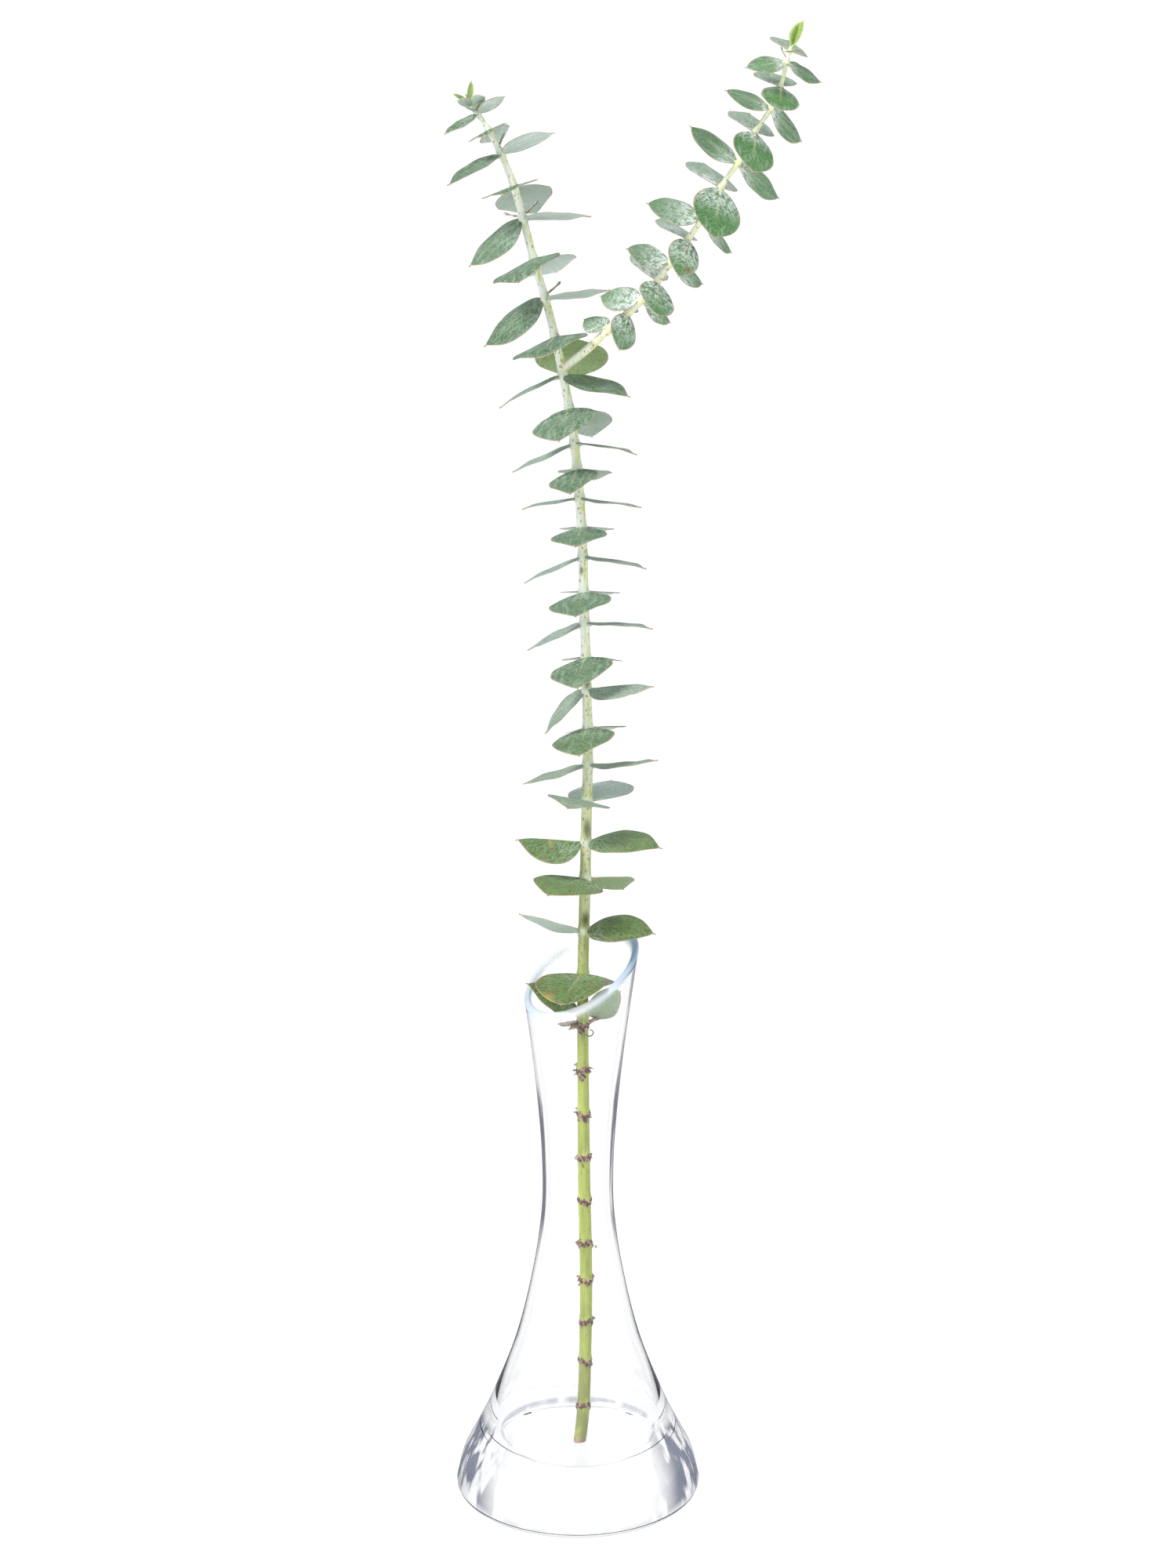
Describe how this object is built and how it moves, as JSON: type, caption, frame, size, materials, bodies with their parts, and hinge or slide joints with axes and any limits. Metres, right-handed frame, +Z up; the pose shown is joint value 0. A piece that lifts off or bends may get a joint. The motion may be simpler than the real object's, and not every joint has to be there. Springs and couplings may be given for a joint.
{
  "type": "eucalyptus branch",
  "caption": "Cut eucalyptus branch with round opposite leaves and a leafy side shoot, standing in a clear tapered glass vase with a slanted mouth.",
  "frame": {"origin": "centre of the vase's flat base, on the surface it stands on", "axes": "+Z up along the vase and stem, +X to the right of the picture, +Y away from the viewer"},
  "size_m": [0.1238, 0.1302, 0.5149],
  "materials": {
    "clear_glass": "clear, polished, faintly blue along the cut rim",
    "stem_and_leaves": "living stem and leaves: yellow-green bark, dull blue-green blades with a waxy bloom",
    "shoot_and_leaves": "living shoot and leaves: pale bark, fresher green blades with a waxy bloom"
  },
  "bodies": {
    "root": {"vase": "clear_glass", "main_stem": "stem_and_leaves", "side_shoot": "shoot_and_leaves"}
  },
  "joints": []
}
